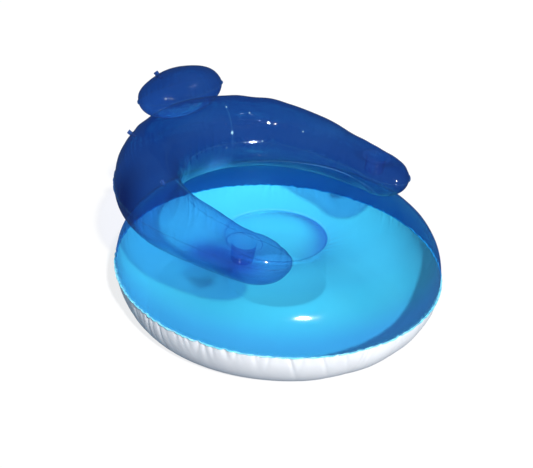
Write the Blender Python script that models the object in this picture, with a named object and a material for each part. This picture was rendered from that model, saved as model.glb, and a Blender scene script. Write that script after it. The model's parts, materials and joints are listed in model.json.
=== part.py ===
# Inflatable pool chair: a round two-sheet base, a C-shaped back and arm tube,
# a pillow, two cup holders and three air valves.
# The origin is on the floor under the middle of the base, +Z is up and the
# sitter faces -Y. Every length is in metres.

import bmesh
import bpy
from math import atan2, cos, pi, radians, sin, sqrt, tan
from mathutils import Matrix, Vector

for old_object in list(bpy.data.objects):
    bpy.data.objects.remove(old_object)

# Film, hems and the gap that two touching pieces keep
film = 0.0004
seat_gap = 0.0003
hem_width = 0.006
step_along = 0.001

# Base
base_radius = 0.563
base_height = 0.320
crown_radius = 0.415
crown_width = 0.060
ring_radius = 0.180
ring_band = 0.008
ring_depth = 0.060
dome_rise = 0.034
flank_turn = radians(70)
rim_fullness_share = 2.0
base_segments = 40
vent_count = 8
vent_radius = 0.009
vent_segments = 12

# Back and arm tube, given at the rear, the shoulders, the elbows and the tips
station_shares = (0.0, 0.36, 0.70, 1.0)
path_radii = (0.457, 0.445, 0.406, 0.442)
tube_heights = (0.282, 0.252, 0.186, 0.146)
tube_half_widths = (0.1055, 0.107, 0.098, 0.100)
tube_sweep = radians(128.3)
tip_length = 0.133
body_spans = 12
tip_turns = (radians(58), radians(36), radians(16))
foot_turn = radians(72)
upper_turns = [radians(a) for a in (0, 28, 54, 75, 90, 105, 126, 152, 180)]
lower_turns = [radians(a) for a in (0, 26, 50, 72, 108, 130, 154, 180)]
pad_turn_low = upper_turns[2]
pad_turn_high = upper_turns[6]
saddle_turn = upper_turns[3]

# Cup holders
cup_share = 0.845
cup_pad_half = 0.062
cup_lean = radians(6)
cup_recess = 0.035
cup_bore_radius = 0.037
cup_floor_radius = 0.034
cup_depth = 0.060
cup_wall = 0.0008
cup_lip_width = 0.018
cup_weld_width = 0.006
cup_round = 0.004
cup_segments = 24

# Pillow
pillow_half_length = 0.174
pillow_half_depth = 0.105
pillow_half_height = 0.080
pillow_sink = 0.020
pillow_lean = radians(11)
pillow_set_back = 0.013
pillow_plan_share = 2.3
pillow_dome_share = 2.2
pillow_ring_shares = (0.35, 0.60, 0.85, 0.96, 1.0)
pillow_segments = 32

# Air valves, the same in all three chambers
valve_flange_radius = 0.0115
valve_flange_height = 0.001
valve_land = 0.001
valve_stem_radius = 0.0065
valve_stem_height = 0.014
valve_bore_radius = 0.0043
valve_barrel_radius = 0.0060
valve_barrel_length = 0.010
valve_hole_clearance = 0.0006
valve_segments = 16
plug_clearance = 0.0003
plug_head_radius = 0.0068
plug_head_height = 0.0025
plug_shaft_length = 0.0095
tether_clearance = 0.0005
tether_ring_width = 0.0026
tether_ring_height = 0.0017
tether_ring_lift = 0.0006
tether_strap_width = 0.004
tether_strap_thickness = 0.0014
tether_reach = 0.0125
flap_radius = 0.0058
flap_thickness = 0.0006
flap_tab_reach = 0.0085
flap_tab_width = 0.006
flap_axis_reach = 0.0072

# Worked out from the sizes above
seam_height = base_height / 2
crown_level = base_height / 2 - film
crown_inner = crown_radius - crown_width / 2
crown_outer = crown_radius + crown_width / 2
ring_inner = ring_radius - ring_band / 2
ring_outer = ring_radius + ring_band / 2
ring_level = crown_level - ring_depth
tube_underside = base_height + seat_gap
saddle_height = tube_underside + tube_heights[0] / 2 * (1 + sin(saddle_turn))
pillow_height = saddle_height + pillow_half_height - pillow_sink
pillow_y = path_radii[0] - pillow_set_back


def add_material(name, colour, roughness, alpha=1.0):
    material = bpy.data.materials.new(name)
    material.use_nodes = True
    shader = material.node_tree.nodes["Principled BSDF"]
    shader.inputs["Base Color"].default_value = (*colour, 1.0)
    shader.inputs["Roughness"].default_value = roughness
    shader.inputs["Metallic"].default_value = 0.0
    shader.inputs["Alpha"].default_value = alpha
    return material


blue_film = add_material("blue_film", (0.03, 0.33, 0.85), 0.12, 0.45)
deep_blue_film = add_material("deep_blue_film", (0.01, 0.09, 0.42), 0.12, 0.6)
white_film = add_material("white_film", (0.86, 0.86, 0.90), 0.30)
clear_vinyl = add_material("clear_vinyl", (0.55, 0.75, 0.90), 0.20, 0.6)


def add_object(name, mesh, material):
    made = bpy.data.objects.new(name, mesh)
    bpy.context.collection.objects.link(made)
    if material.name not in mesh.materials:
        mesh.materials.append(material)
    return made


def mesh_from(name, bm, sharp_turn=radians(40)):
    mesh = bpy.data.meshes.new(name)
    bm.to_mesh(mesh)
    bm.free()
    mesh.shade_smooth()
    mesh.set_sharp_from_angle(angle=sharp_turn)
    return mesh


def turn_outward(bm, outward):
    # Faces of an open sheet all point the way that outward(centre) says.
    bmesh.ops.recalc_face_normals(bm, faces=bm.faces)
    bm.normal_update()
    total = sum(f.normal.dot(outward(f.calc_center_median())) * f.calc_area() for f in bm.faces)
    if total < 0:
        bmesh.ops.reverse_faces(bm, faces=bm.faces)
    bm.normal_update()


def film_object(name, bm, material):
    # The sheet is the film's inner side, and its thickness goes outward.
    made = add_object(name, mesh_from(name, bm), material)
    shell = made.modifiers.new("film", "SOLIDIFY")
    shell.thickness = film
    shell.offset = 1.0
    shell.use_even_offset = True
    return made


def up(centre):
    return Vector((0, 0, 1))


def down(centre):
    return Vector((0, 0, -1))


def between(low, high, share):
    return low + (high - low) * share


def face_near(bm, place):
    bm.faces.ensure_lookup_table()
    return min(bm.faces, key=lambda f: (f.calc_center_median() - place).length)


def open_round(bm, faces, centre, normal, radii, count):
    # Replaces flat faces by a land with a round hole: the radii go inward.
    normal = normal.normalized()
    side = normal.orthogonal().normalized()
    other = normal.cross(side)
    inside = set(faces)
    border = [e for f in inside for e in f.edges if len(inside.intersection(e.link_faces)) == 1]
    bmesh.ops.delete(bm, geom=list(inside), context="FACES")
    rings = []
    for radius in radii:
        ring = []
        for k in range(count):
            turn = 2 * pi * k / count
            ring.append(bm.verts.new(centre + radius * (cos(turn) * side + sin(turn) * other)))
        rings.append(ring)
    first = [bm.edges.new((rings[0][k - 1], rings[0][k])) for k in range(count)]
    bmesh.ops.triangle_fill(bm, edges=border + first, use_beauty=True, normal=normal)
    for outer, inner in zip(rings, rings[1:]):
        for k in range(count):
            bm.faces.new((outer[k - 1], outer[k], inner[k], inner[k - 1]))


def valve_frame(centre, normal):
    # Local Z leaves the film, and local X is level.
    z_axis = normal.normalized()
    x_axis = Vector((0, 0, 1)).cross(z_axis).normalized()
    y_axis = z_axis.cross(x_axis)
    frame = Matrix((x_axis, y_axis, z_axis)).transposed().to_4x4()
    frame.translation = centre + z_axis * film
    return frame


def fit_valve_hole(bm, face):
    centre = face.calc_center_median()
    normal = face.normal.copy()
    land = valve_flange_radius + valve_land
    hole = valve_barrel_radius + valve_hole_clearance
    open_round(bm, [face], centre, normal, (land, hole), valve_segments)
    return valve_frame(centre, normal)


def turned_sheet(profile, segments):
    # Turns (radius, height) points about Z into an open sheet.
    bm = bmesh.new()
    rings = []
    for radius, height in profile:
        if radius == 0:
            rings.append([bm.verts.new((0, 0, height))])
            continue
        ring = []
        for k in range(segments):
            turn = 2 * pi * k / segments
            ring.append(bm.verts.new((radius * cos(turn), radius * sin(turn), height)))
        rings.append(ring)
    join_rings(bm, rings, segments)
    return bm


def join_rings(bm, rings, segments):
    for near, far in zip(rings, rings[1:]):
        for k in range(segments):
            if len(near) == 1:
                bm.faces.new((near[0], far[k - 1], far[k]))
            elif len(far) == 1:
                bm.faces.new((near[k - 1], near[k], far[0]))
            else:
                bm.faces.new((near[k - 1], near[k], far[k], far[k - 1]))


def turned_solid(profile, segments):
    # The profile starts and ends on the axis, or is closed where it misses it.
    if profile[0][0] > 0:
        profile = profile + [profile[0]]
    bm = turned_sheet(profile, segments)
    bmesh.ops.remove_doubles(bm, verts=bm.verts, dist=film / 100)
    bmesh.ops.recalc_face_normals(bm, faces=bm.faces)
    return bm


# Base: two sheets welded at the rim, and a ring baffle that holds them together

def base_profile(dome_steps, flank_steps, rim_steps):
    # Heights are above the seam plane, on the inner side of the film.
    points = []
    for k in range(dome_steps):
        share = k / dome_steps
        points.append((ring_inner * share, ring_level + dome_rise * (1 - share ** 2)))
    points.append((ring_inner, ring_level))
    points.append((ring_outer, ring_level))
    for k in range(1, flank_steps + 1):
        share = k / (flank_steps + 1)
        fall = (1 - cos((1 - share) * flank_turn)) / (1 - cos(flank_turn))
        points.append((between(ring_outer, crown_inner, share), crown_level - ring_depth * fall))
    points.append((crown_inner, crown_level))
    points.append((crown_outer, crown_level))
    for k in range(1, rim_steps + 1):
        turn = pi / 2 * (1 - k / (rim_steps + 1))
        reach = cos(turn) ** (2 / rim_fullness_share)
        rise = sin(turn) ** (2 / rim_fullness_share)
        points.append((between(crown_outer, base_radius, reach), crown_level * rise))
    points.append((base_radius, seat_gap / 2))
    points.append((base_radius + hem_width, seat_gap / 2))
    return points


def make_base_top():
    profile = [(r, seam_height + h) for r, h in base_profile(3, 2, 4)]
    bm = turned_sheet(profile, base_segments)
    turn_outward(bm, up)
    flank = profile[9:11]
    radius = (flank[0][0] + flank[1][0]) / 2
    height = (flank[0][1] + flank[1][1]) / 2
    turn = pi / 2 + pi / base_segments
    face = face_near(bm, Vector((radius * cos(turn), radius * sin(turn), height)))
    frame = fit_valve_hole(bm, face)
    turn_outward(bm, up)
    film_object("base_top_sheet", bm, blue_film)
    return frame


def make_base_bottom():
    profile = [(r, seam_height - h) for r, h in base_profile(2, 1, 3)]
    bm = turned_sheet(profile, base_segments)
    turn_outward(bm, down)
    film_object("base_bottom_sheet", bm, white_film)


def make_base_baffle():
    reach = ring_level - seat_gap - film
    profile = [
        (ring_outer, seam_height + reach),
        (ring_inner, seam_height + reach),
        (ring_inner, seam_height - reach),
        (ring_outer, seam_height - reach),
    ]
    bm = turned_sheet(profile, base_segments)
    bm.faces.ensure_lookup_table()
    bm.normal_update()
    for k in range(vent_count):
        turn = 2 * pi * (k * (base_segments // vent_count) + 0.5) / base_segments
        place = Vector((ring_inner * cos(turn), ring_inner * sin(turn), seam_height))
        face = face_near(bm, place)
        centre = face.calc_center_median()
        open_round(bm, [face], centre, face.normal, (vent_radius,), vent_segments)
    turn_outward(bm, lambda c: Vector((-c.x, -c.y, 0)))
    film_object("base_baffle", bm, clear_vinyl)


# Back and arm tube: an upper and a lower panel welded all round their edge

def along(share, sizes):
    # A smooth curve through the four given sizes, level at the rear.
    place = abs(share)
    slopes = [0.0]
    for k in range(1, 4):
        near = station_shares[k - 1]
        far = station_shares[min(k + 1, 3)]
        slopes.append((sizes[min(k + 1, 3)] - sizes[k - 1]) / (far - near))
    k = 0
    while k < 2 and place > station_shares[k + 1]:
        k += 1
    span = station_shares[k + 1] - station_shares[k]
    u = (place - station_shares[k]) / span
    start = (2 * u ** 3 - 3 * u ** 2 + 1) * sizes[k] + (u ** 3 - 2 * u ** 2 + u) * span * slopes[k]
    finish = (3 * u ** 2 - 2 * u ** 3) * sizes[k + 1] + (u ** 3 - u ** 2) * span * slopes[k + 1]
    return start + finish


def path_point(share):
    turn = share * tube_sweep
    radius = along(share, path_radii)
    return Vector((radius * sin(turn), radius * cos(turn), 0))


def path_tangent(share):
    # Points from the rear towards the tip on either arm.
    share_step = step_along / path_radii[0]
    side = 1 if share >= 0 else -1
    return (path_point(share + side * share_step) - path_point(share - side * share_step)).normalized()


def path_outward(share):
    tangent = path_tangent(share)
    outward = Vector((tangent.y, -tangent.x, 0))
    return outward if outward.dot(path_point(share)) > 0 else -outward


def tip_share():
    return tip_length / (path_radii[3] * tube_sweep)


def tip_scale(share):
    closeness = min((1 - abs(share)) / tip_share(), 1)
    return sqrt(max(1 - (1 - closeness) ** 2, 0))


def tube_seam_height(share):
    return tube_underside + along(share, tube_heights) / 2


def cup_pad():
    # Centre, normal and forward direction of the flat pad on the +X arm.
    centre = path_point(cup_share)
    centre.z = tube_underside + along(cup_share, tube_heights) - cup_recess
    forward = path_tangent(cup_share)
    normal = (Vector((0, 0, 1)) + forward * tan(cup_lean)).normalized()
    return centre, normal, forward


def cup_pad_shares():
    half = cup_pad_half / (along(cup_share, path_radii) * tube_sweep)
    return cup_share - half, cup_share + half


def tube_shares():
    start, finish = cup_pad_shares()
    one_side = [start * k / body_spans for k in range(1, body_spans + 1)]
    one_side += [cup_share, finish]
    one_side += [1 - tip_share() * (1 - cos(turn)) for turn in tip_turns]
    return [-s for s in reversed(one_side)] + [0.0] + one_side


def tube_point(share, turn, side):
    # side is 1 on the upper panel and -1 on the lower one.
    scale = tip_scale(share)
    half_height = (along(share, tube_heights) / 2 - film) * scale * sin(turn)
    point = path_point(share) + path_outward(share) * along(share, tube_half_widths) * scale * cos(turn)
    if side > 0:
        point.z = min(tube_seam_height(share) + seat_gap / 2 + half_height, saddle_height - film)
        start, finish = cup_pad_shares()
        on_pad = start - step_along < abs(share) < finish + step_along
        if on_pad and pad_turn_low - step_along < turn < pad_turn_high + step_along:
            centre, normal, forward = cup_pad()
            if share < 0:
                centre.x = -centre.x
                forward.x = -forward.x
            point.z = centre.z - film - tan(cup_lean) * (point - centre).dot(forward)
        return point
    drop = half_height / sin(foot_turn)
    point.z = max(tube_seam_height(share) - seat_gap / 2 - drop, tube_underside + film)
    return point


def tube_tip(side_x, side):
    point = path_point(side_x)
    point.z = tube_seam_height(1) + side * seat_gap / 2
    return point


def add_hem(bm, border):
    # A flat strip outside a closed border of vertices.
    count = len(border)
    places = [v.co.copy() for v in border]
    area = sum(places[k - 1].x * places[k].y - places[k].x * places[k - 1].y for k in range(count))
    way = 1 if area > 0 else -1
    rim = []
    for k in range(count):
        before = (places[k] - places[k - 1]).normalized()
        after = (places[(k + 1) % count] - places[k]).normalized()
        course = (before + after).normalized()
        outward = Vector((course.y, -course.x, 0)).normalized() * way
        rim.append(bm.verts.new(places[k] + outward * hem_width))
    for k in range(count):
        bm.faces.new((border[k - 1], border[k], rim[k], rim[k - 1]))


def tube_panel(turns, side):
    bm = bmesh.new()
    shares = tube_shares()
    rows = [[bm.verts.new(tube_point(s, turn, side)) for turn in turns] for s in shares]
    tips = [bm.verts.new(tube_tip(-1, side)), bm.verts.new(tube_tip(1, side))]
    for near, far in zip(rows, rows[1:]):
        for j in range(1, len(turns)):
            bm.faces.new((near[j - 1], near[j], far[j], far[j - 1]))
    for row, tip in ((rows[0], tips[0]), (rows[-1], tips[1])):
        for j in range(1, len(turns)):
            bm.faces.new((row[j - 1], row[j], tip))
    border = [tips[0]] + [r[0] for r in rows] + [tips[1]] + [r[-1] for r in reversed(rows)]
    add_hem(bm, border)
    return bm


def make_tube_upper():
    bm = tube_panel(upper_turns, 1)
    turn_outward(bm, up)
    for side_x in (-1, 1):
        centre, normal, forward = cup_pad()
        centre = Vector((centre.x * side_x, centre.y, centre.z)) - normal * film
        normal = Vector((normal.x * side_x, normal.y, normal.z))
        reach = cup_bore_radius + cup_lip_width + cup_round
        pad = [f for f in bm.faces if on_cup_pad(f, centre, normal, reach)]
        hole = cup_bore_radius + cup_lip_width - cup_weld_width
        open_round(bm, pad, centre, normal, (hole,), cup_segments)
    turn_outward(bm, up)
    spans = tube_shares()
    middle = len(spans) // 2
    share = (spans[middle - 2] + spans[middle - 3]) / 2
    turn = (upper_turns[1] + upper_turns[2]) / 2
    frame = fit_valve_hole(bm, face_near(bm, tube_point(share, turn, 1)))
    turn_outward(bm, up)
    film_object("backrest_upper_panel", bm, deep_blue_film)
    return frame


def on_cup_pad(face, centre, normal, reach):
    flat = all(abs((v.co - centre).dot(normal)) < film for v in face.verts)
    near = all((v.co - centre).length < reach * 2 for v in face.verts)
    return flat and near


def make_tube_lower():
    bm = tube_panel(lower_turns, -1)
    turn_outward(bm, down)
    film_object("backrest_lower_panel", bm, deep_blue_film)


# Cup holders: one moulded cup with a lip in each arm

def arc_points(centre, radius, start, finish, steps):
    points = []
    for k in range(steps + 1):
        turn = between(start, finish, k / steps)
        points.append((centre[0] + radius * cos(turn), centre[1] + radius * sin(turn)))
    return points


def cup_profile():
    # The lip lies on the pad, and the outline runs round the wall's section.
    lip_outer = cup_bore_radius + cup_lip_width
    wall_lean = atan2(cup_bore_radius - cup_floor_radius, cup_depth)
    inner = [(0, -cup_depth), (cup_floor_radius - cup_round, -cup_depth)]
    inner += arc_points((cup_floor_radius - cup_round, cup_round - cup_depth), cup_round, -pi / 2, -wall_lean, 2)[1:]
    inner += arc_points((cup_bore_radius + cup_round / 2, cup_wall - cup_round / 2), cup_round / 2, pi, pi / 2, 2)
    inner.append((lip_outer, cup_wall))
    outer = [(lip_outer, 0), (cup_bore_radius + cup_wall, 0)]
    outer.append((cup_floor_radius + cup_wall, cup_round - cup_depth - cup_wall))
    outer.append((cup_floor_radius - cup_round, -cup_depth - cup_wall))
    outer.append((0, -cup_depth - cup_wall))
    return inner + outer


def make_cup_holders():
    mesh = mesh_from("cup_holder", turned_solid(cup_profile(), cup_segments))
    for name, side_x in (("left_cup_holder", 1), ("right_cup_holder", -1)):
        centre, normal, forward = cup_pad()
        centre.x *= side_x
        normal.x *= side_x
        made = add_object(name, mesh, deep_blue_film)
        frame = valve_frame(centre, normal)
        frame.translation = centre + normal * seat_gap
        made.matrix_world = frame


# Pillow: two panels welded round their edge, resting on the tube's flat saddle

def signed_power(value, power):
    return abs(value) ** power * (1 if value >= 0 else -1)


def pillow_point(share, turn, side):
    x = pillow_half_length * share * signed_power(cos(turn), 2 / pillow_plan_share)
    y = pillow_half_depth * share * signed_power(sin(turn), 2 / pillow_plan_share)
    z = side * ((pillow_half_height - film) * sqrt(1 - share ** pillow_dome_share) + seat_gap / 2)
    leaned = Matrix.Rotation(-pillow_lean, 3, "X") @ Vector((x, y, z))
    return leaned + Vector((0, pillow_y, pillow_height))


def pillow_panel(side):
    bm = bmesh.new()
    rings = [[bm.verts.new(pillow_point(0, 0, side))]]
    for share in pillow_ring_shares:
        turns = [2 * pi * k / pillow_segments for k in range(pillow_segments)]
        rings.append([bm.verts.new(pillow_point(share, turn, side)) for turn in turns])
    join_rings(bm, rings, pillow_segments)
    lean = Matrix.Rotation(pillow_lean, 4, "X")
    bmesh.ops.transform(bm, matrix=lean, verts=bm.verts)
    add_hem(bm, rings[-1])
    bmesh.ops.transform(bm, matrix=lean.inverted(), verts=bm.verts)
    return bm


def make_pillow():
    bm = pillow_panel(1)
    turn_outward(bm, up)
    share = (pillow_ring_shares[1] + pillow_ring_shares[2]) / 2
    turn = pi / 2 + pi / pillow_segments
    frame = fit_valve_hole(bm, face_near(bm, pillow_point(share, turn, 1)))
    turn_outward(bm, up)
    film_object("pillow_upper_panel", bm, deep_blue_film)
    bm = pillow_panel(-1)
    for vertex in bm.verts:
        vertex.co.z = max(vertex.co.z, saddle_height + seat_gap + film)
    turn_outward(bm, down)
    film_object("pillow_lower_panel", bm, deep_blue_film)
    return frame


# Air valves: a flanged body, a plug on its tether and a check flap

def valve_body_mesh():
    top = seat_gap + valve_stem_height
    bottom = -valve_barrel_length
    profile = [
        (valve_bore_radius, bottom),
        (valve_barrel_radius, bottom),
        (valve_barrel_radius, seat_gap),
        (valve_flange_radius, seat_gap),
        (valve_flange_radius, seat_gap + valve_flange_height),
        (valve_stem_radius, seat_gap + valve_flange_height),
        (valve_stem_radius, top),
        (valve_bore_radius, top),
    ]
    return mesh_from("valve_body", turned_solid(profile, valve_segments))


def plug_mesh():
    head_level = seat_gap + valve_stem_height + plug_clearance
    shaft_radius = valve_bore_radius - plug_clearance
    profile = [
        (0, head_level - plug_shaft_length),
        (shaft_radius - plug_clearance, head_level - plug_shaft_length),
        (shaft_radius, head_level - plug_shaft_length + plug_clearance),
        (shaft_radius, head_level),
        (plug_head_radius, head_level),
        (plug_head_radius, head_level + plug_head_height),
        (0, head_level + plug_head_height),
    ]
    ring_low = seat_gap + valve_flange_height + tether_ring_lift
    ring_near = valve_stem_radius + tether_clearance
    ring_far = ring_near + tether_ring_width
    ring_high = ring_low + tether_ring_height
    ring = [(ring_near, ring_low), (ring_far, ring_low), (ring_far, ring_high), (ring_near, ring_high)]
    parts = [turned_solid(profile, valve_segments), turned_solid(ring, valve_segments)]
    parts.append(strap_solid(ring_far, ring_low, head_level))
    return united_mesh("valve_plug", parts)


def strap_solid(ring_far, ring_low, head_level):
    # A bent strap from the ring out and up to the plug's head.
    near_head = plug_head_radius - tether_strap_thickness
    near_ring = ring_far - tether_strap_thickness
    low = ring_low + (tether_ring_height - tether_strap_thickness) / 2
    high = head_level + (plug_head_height - tether_strap_thickness) / 2
    inner_reach = tether_reach - tether_strap_thickness
    outline = [
        (near_ring, low),
        (tether_reach - tether_strap_thickness, low),
        (tether_reach, low + tether_strap_thickness),
        (tether_reach, high),
        (tether_reach - tether_strap_thickness, high + tether_strap_thickness),
        (near_head, high + tether_strap_thickness),
        (near_head, high),
        (inner_reach, high),
        (inner_reach, low + tether_strap_thickness),
        (near_ring, low + tether_strap_thickness),
    ]
    return extruded_solid([Vector((x, -tether_strap_width / 2, z)) for x, z in outline],
                          Vector((0, tether_strap_width, 0)))


def extruded_solid(outline, travel):
    bm = bmesh.new()
    face = bm.faces.new([bm.verts.new(point) for point in outline])
    moved = bmesh.ops.extrude_face_region(bm, geom=[face])["geom"]
    corners = [item for item in moved if isinstance(item, bmesh.types.BMVert)]
    bmesh.ops.translate(bm, vec=travel, verts=corners)
    bmesh.ops.recalc_face_normals(bm, faces=bm.faces)
    return bm


def united_mesh(name, parts):
    # Joins overlapping solids into one closed body.
    helpers = [add_object(name + "_piece", mesh_from(name, bm), clear_vinyl) for bm in parts]
    for other in helpers[1:]:
        union = helpers[0].modifiers.new("union", "BOOLEAN")
        union.operation = "UNION"
        union.object = other
    bpy.context.view_layer.update()
    seen = helpers[0].evaluated_get(bpy.context.evaluated_depsgraph_get())
    mesh = bpy.data.meshes.new_from_object(seen)
    for helper in helpers:
        bpy.data.objects.remove(helper)
    return mesh


def flap_mesh():
    # The origin is on the hinge line beside the barrel.
    half_tab = flap_tab_width / 2
    tab_turn = pi - atan2(half_tab, sqrt(flap_radius ** 2 - half_tab ** 2))
    outline = []
    for k in range(valve_segments):
        turn = between(-tab_turn, tab_turn, k / (valve_segments - 1))
        outline.append((flap_radius * cos(turn), flap_radius * sin(turn)))
    outline += [(-flap_tab_reach, half_tab), (-flap_tab_reach, -half_tab)]
    points = [Vector((x + flap_axis_reach, y, -flap_thickness / 2)) for x, y in outline]
    return mesh_from("valve_flap", extruded_solid(points, Vector((0, 0, flap_thickness))))


def make_valves(frames):
    body = valve_body_mesh()
    plug = plug_mesh()
    flap = flap_mesh()
    flap_level = -valve_barrel_length - seat_gap - flap_thickness / 2
    for chamber, frame in frames.items():
        add_object(chamber + "_valve_body", body, clear_vinyl).matrix_world = frame
        add_object(chamber + "_valve_plug", plug, clear_vinyl).matrix_world = frame
        hinge = frame @ Matrix.Translation((-flap_axis_reach, 0, flap_level))
        add_object(chamber + "_valve_flap", flap, clear_vinyl).matrix_world = hinge


make_base_bottom()
make_base_baffle()
valve_frames = {
    "base": make_base_top(),
    "backrest": make_tube_upper(),
    "pillow": make_pillow(),
}
make_tube_lower()
make_cup_holders()
make_valves(valve_frames)
bpy.context.view_layer.update()
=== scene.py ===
import json
from math import atan2, cos, pi, radians, sin, tan

import bmesh
import bpy
import numpy as np
from mathutils import Matrix, Vector


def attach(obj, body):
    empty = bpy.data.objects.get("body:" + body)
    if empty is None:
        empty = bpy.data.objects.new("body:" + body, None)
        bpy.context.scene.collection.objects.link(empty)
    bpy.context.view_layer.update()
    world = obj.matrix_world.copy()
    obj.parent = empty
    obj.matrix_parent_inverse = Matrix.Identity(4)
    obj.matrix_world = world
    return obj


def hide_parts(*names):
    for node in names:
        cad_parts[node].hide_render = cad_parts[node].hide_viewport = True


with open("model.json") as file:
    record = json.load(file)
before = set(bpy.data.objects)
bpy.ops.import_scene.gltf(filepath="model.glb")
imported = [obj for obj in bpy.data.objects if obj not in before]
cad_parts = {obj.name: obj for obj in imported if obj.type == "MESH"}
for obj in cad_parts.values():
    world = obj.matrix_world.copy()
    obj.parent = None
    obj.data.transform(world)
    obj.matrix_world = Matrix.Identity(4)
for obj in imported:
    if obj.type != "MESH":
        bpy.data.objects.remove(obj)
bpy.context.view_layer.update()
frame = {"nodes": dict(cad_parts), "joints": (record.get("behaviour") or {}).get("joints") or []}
print("frame loaded:", len(frame["nodes"]), "CAD nodes")


# Camera at the photograph's place

camera = {
    "azimuth": radians(-57.1),
    "elevation": radians(31.275),
    "roll": radians(3.53),
    "distance": 3.0,
    "aim": Vector((0, 0, 0.160)),
    "lens": 57.85,  # mm on a 36 mm wide sensor
    "shiftX": -0.0238,
    "shiftY": 0.0446,
}


def towards(azimuth, elevation):
    # azimuth 0 is in front of the chair, 90 on the sitter's left
    return Vector((sin(azimuth) * cos(elevation), -cos(azimuth) * cos(elevation), sin(elevation)))


def addObject(name, data):
    made = bpy.data.objects.new(name, data)
    bpy.context.scene.collection.objects.link(made)
    return made


def makeCamera():
    data = bpy.data.cameras.new("photoCamera")
    made = addObject("photoCamera", data)
    data.sensor_width = 36
    data.lens = camera["lens"]
    data.shift_x = camera["shiftX"]
    data.shift_y = camera["shiftY"]
    data.clip_end = 60
    back = towards(camera["azimuth"], camera["elevation"])
    right = Vector((cos(camera["azimuth"]), sin(camera["azimuth"]), 0))
    up = back.cross(right)
    c, s = cos(camera["roll"]), sin(camera["roll"])
    axes = Matrix((c * right + s * up, -s * right + c * up, back)).transposed()
    made.matrix_world = Matrix.Translation(camera["aim"] + camera["distance"] * back) @ axes.to_4x4()
    bpy.context.scene.camera = made


makeCamera()
print("camera set")


# Meshes from grids of points

def sheetMesh(name, points, side, closed=False, poles=(True, False)):
    # rows run away from the first one, columns along it; a pole is a row that is one point
    # side is 1 where the outer face looks up and -1 where it looks down
    rows, columns = points.shape[:2]
    index = np.arange(rows * columns).reshape(rows, columns)
    for end in (0, -1):
        if poles[end]:
            index[end] = index[end, 0]
    after = np.roll(index, -1, axis=1) if closed else index[:, 1:]
    here = index if closed else index[:, :-1]
    quads = np.stack([here[:-1], after[:-1], after[1:], here[1:]], -1).reshape(-1, 4)
    used, packed = np.unique(quads, return_inverse=True)
    packed = packed.reshape(-1, 4)
    faces = []
    for quad in packed.tolist():
        corners = [v for k, v in enumerate(quad) if v != quad[k - 1]]
        if len(corners) > 2:
            faces.append(corners)
    mesh = bpy.data.meshes.new(name)
    mesh.from_pydata(points.reshape(-1, 3)[used].tolist(), [], faces)
    mesh.update()
    normals = np.zeros(len(faces) * 3)
    mesh.polygons.foreach_get("normal", normals)
    if normals[2::3].sum() * side < 0:
        mesh.flip_normals()
    mesh.shade_smooth()
    return mesh


lifted = np.array([0, 0, 1.0])


def roundWays(count):
    # even turns round the upright axis, and the level way out at each
    turns = np.arange(count) * 2 * pi / count
    return turns, np.stack([np.cos(turns), np.sin(turns), 0 * turns], -1)


def unit(vectors):
    return vectors / np.maximum(np.linalg.norm(vectors, axis=-1, keepdims=True), 1e-9)


def gridNormals(points, closed):
    if closed:
        course = np.roll(points, -1, axis=1) - np.roll(points, 1, axis=1)
    else:
        course = np.gradient(points, axis=1)
    return unit(np.cross(course, np.gradient(points, axis=0)))


def addPiece(name, mesh, material, replaced=(), body="chair"):
    made = addObject(name, mesh)
    mesh.materials.append(material)
    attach(made, body)
    if replaced:
        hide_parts(*replaced)
    return made


def smoothMin(a, b, soft):
    share = np.clip(0.5 + 0.5 * (b - a) / soft, 0, 1)
    return b + (a - b) * share - soft * share * (1 - share)


def smoothStep(low, high, value):
    share = np.clip((value - low) / (high - low), 0, 1)
    return share * share * (3 - 2 * share)


def softWaves(points, lengths, seed):
    # slow swells of the blown-up film, between about -1 and 1
    chance = np.random.default_rng(seed)
    total = np.zeros(points.shape[:-1])
    for length in lengths:
        for _ in range(3):
            way = chance.normal(size=3)
            way /= np.linalg.norm(way)
            total += np.sin(2 * pi / length * (points @ way) + chance.uniform(0, 2 * pi))
    return total / (3 * len(lengths)) ** 0.5


# Creases that the weld draws into the film, and the scallops of the weld itself

creaseSpread = {"depth": (0.25, 1.5), "reach": (0.35, 1.7), "width": (0.7, 1.4)}


def seamCreases(length, looks, seed):
    # about one crease per pitch, each with its own share of the usual depth, reach and width
    chance = np.random.default_rng(seed)
    count = int(round(length / looks["pitch"]))
    places = (np.arange(count) + chance.uniform(-0.36, 0.36, count)) * length / count
    return [
        {
            "place": place,
            **{name: looks[name] * chance.uniform(*ends) for name, ends in creaseSpread.items()},
            "lean": chance.uniform(-0.3, 0.3),
            "tip": chance.uniform(-1, 1),
        }
        for place in places
    ]


def wrapped(offset, length):
    return (offset + length / 2) % length - length / 2


def creaseDepth(arc, away, creases, length):
    # how far the film sinks at each point; nothing at the weld itself
    total = np.zeros(np.broadcast(arc, away).shape)
    for crease in creases:
        offset = wrapped(arc - crease["place"] - crease["lean"] * away, length)
        spread = crease["width"] * (1 + 0.9 * away / crease["reach"])
        fade = np.exp(-away / crease["reach"]) * away / (away + crease["width"])
        total -= crease["depth"] * fade * np.exp(-((offset / spread) ** 2))
    return total


def seamScallops(arc, creases, length, looks):
    # how far the weld is drawn in, and how far it lifts, at each place along it
    drawn = np.zeros(arc.shape)
    lift = np.zeros(arc.shape)
    for crease in creases:
        offset = wrapped(arc - crease["place"], length)
        shape = np.exp(-((offset / (looks["pitch"] * 0.27)) ** 2))
        strength = crease["depth"] / looks["depth"]
        drawn -= looks["drawIn"] * strength * shape
        lift += looks["lift"] * crease["tip"] * shape
    return drawn, lift


def seamPull(away, drawn, out, lift, looks):
    # how far the weld's scallops move the film at each point
    fade = np.exp(-away / looks["fadeIn"])
    return (fade * drawn)[..., None] * out + (fade * lift)[..., None] * lifted


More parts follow.
